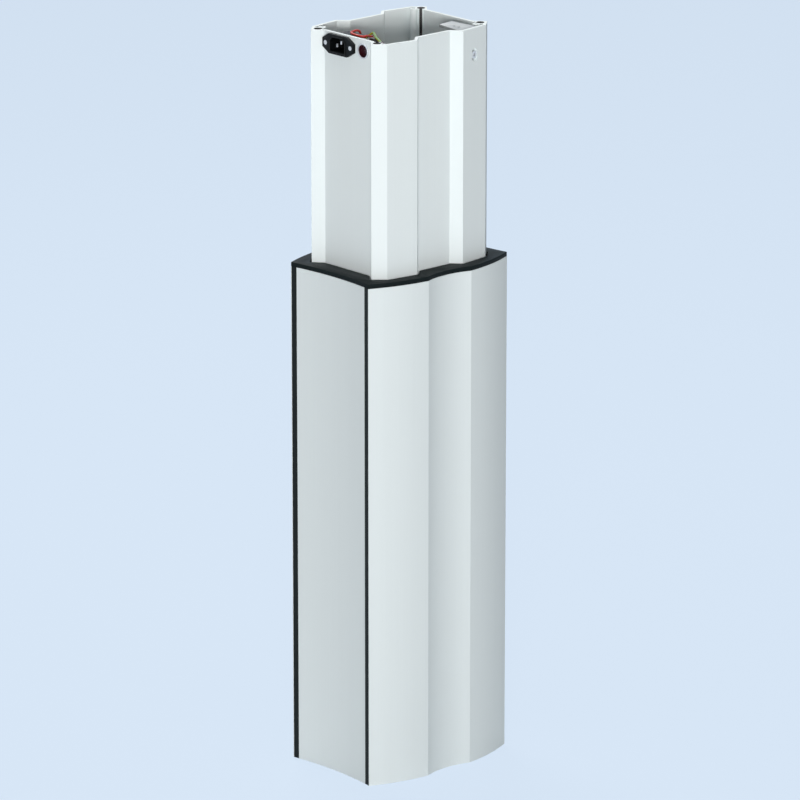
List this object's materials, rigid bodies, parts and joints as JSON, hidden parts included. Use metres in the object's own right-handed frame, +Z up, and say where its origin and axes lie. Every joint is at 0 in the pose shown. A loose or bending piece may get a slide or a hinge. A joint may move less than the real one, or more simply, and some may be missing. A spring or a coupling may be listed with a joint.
{
  "type": "lifting column",
  "caption": "Electric lifting column: an open-ended aluminium profile telescopes out of a lobed outer profile with a dark cap, driven by a turning nut on a standing spindle.",
  "frame": {"origin": "middle of the foot, on the floor", "axes": "+Z up along the lift, X along the wide sides, the wires' side at -X"},
  "size_m": [0.205, 0.165, 0.835],
  "materials": {
    "outer_aluminium": "satin anodised, fine lines along the extrusion",
    "inner_aluminium": "satin anodised, fine lines along the extrusion",
    "plate_aluminium": "milled",
    "strip_plastic": "extruded, dull",
    "cap_plastic": "moulded, fine grain",
    "glide_plastic": "moulded, waxy",
    "screw_steel": "blackened",
    "bright_steel": "zinc plated",
    "spindle_steel": "rolled and greased",
    "cast_housing": "die cast",
    "motor_paint": "black lacquer",
    "black_plastic": "moulded",
    "board_green": "lacquered board",
    "maroon_plastic": "moulded",
    "bracket_zinc": "zinc plated sheet",
    "red_sleeve": "insulation",
    "white_sleeve": "insulation",
    "earth_sleeve": "green and yellow insulation",
    "black_sleeve": "insulation",
    "bronze": "turned",
    "gear_plastic": "moulded"
  },
  "bodies": {
    "outer_column": {"outer_profile": "outer_aluminium", "cover_strip_front_left": "strip_plastic", "cover_strip_front_right": "strip_plastic", "cover_strip_back_left": "strip_plastic", "cover_strip_back_right": "strip_plastic", "top_cap": "cap_plastic", "upper_glide_front": "glide_plastic", "upper_glide_back": "glide_plastic", "upper_glide_left": "glide_plastic", "upper_glide_right": "glide_plastic", "base_plate": "plate_aluminium", "base_screws": "screw_steel", "spindle": "spindle_steel", "spindle_screw": "screw_steel", "spindle_pin": "screw_steel", "stop_washer": "bright_steel", "stop_screw": "screw_steel"},
    "inner_column": {"inner_profile": "inner_aluminium", "lower_glide_front": "glide_plastic", "lower_glide_back": "glide_plastic", "lower_glide_left": "glide_plastic", "lower_glide_right": "glide_plastic", "carrier_plate": "plate_aluminium", "carrier_screws": "screw_steel", "gear_case": "cast_housing", "gear_cover": "plate_aluminium", "drive_screws": "screw_steel", "motor": "motor_paint", "lower_bush": "glide_plastic", "upper_bush": "glide_plastic", "control_case": "black_plastic", "control_lid": "black_plastic", "circuit_board": "board_green", "control_screws": "bright_steel", "mains_inlet": "black_plastic", "inlet_pins": "bright_steel", "inlet_screws": "bright_steel", "handset_socket": "maroon_plastic", "socket_ring": "bright_steel", "socket_nut": "bright_steel", "corner_bracket": "bracket_zinc", "bracket_screw": "bright_steel", "earth_lug": "bright_steel", "earth_screw": "bright_steel", "line_lead": "red_sleeve", "neutral_lead": "white_sleeve", "earth_lead": "earth_sleeve", "handset_lead": "black_sleeve", "motor_lead": "black_sleeve"},
    "drive_nut": {"drive_nut": "bronze", "nut_gear": "gear_plastic"},
    "motor_pinion": {"motor_pinion": "spindle_steel"}
  },
  "joints": [
    {"name": "lift", "type": "slide", "parent": "outer_column", "child": "inner_column", "axis": [0, 0, 1], "range_m": [-0.22, 0.18]},
    {"name": "nut_turn", "type": "hinge", "parent": "inner_column", "child": "drive_nut", "pos_m": [0.014, 0, 0.264], "axis": [0, 0, 1], "range_deg": [-9900, 8100]},
    {"name": "pinion_turn", "type": "hinge", "parent": "inner_column", "child": "motor_pinion", "pos_m": [-0.034, 0, 0.264], "axis": [0, 0, 1], "range_deg": [-24300, 29700]}
  ],
  "couplings": [
    {"joint": "nut_turn", "follows": "lift", "rad_per_m": 785.4},
    {"joint": "pinion_turn", "follows": "lift", "rad_per_m": -2356.2}
  ]
}
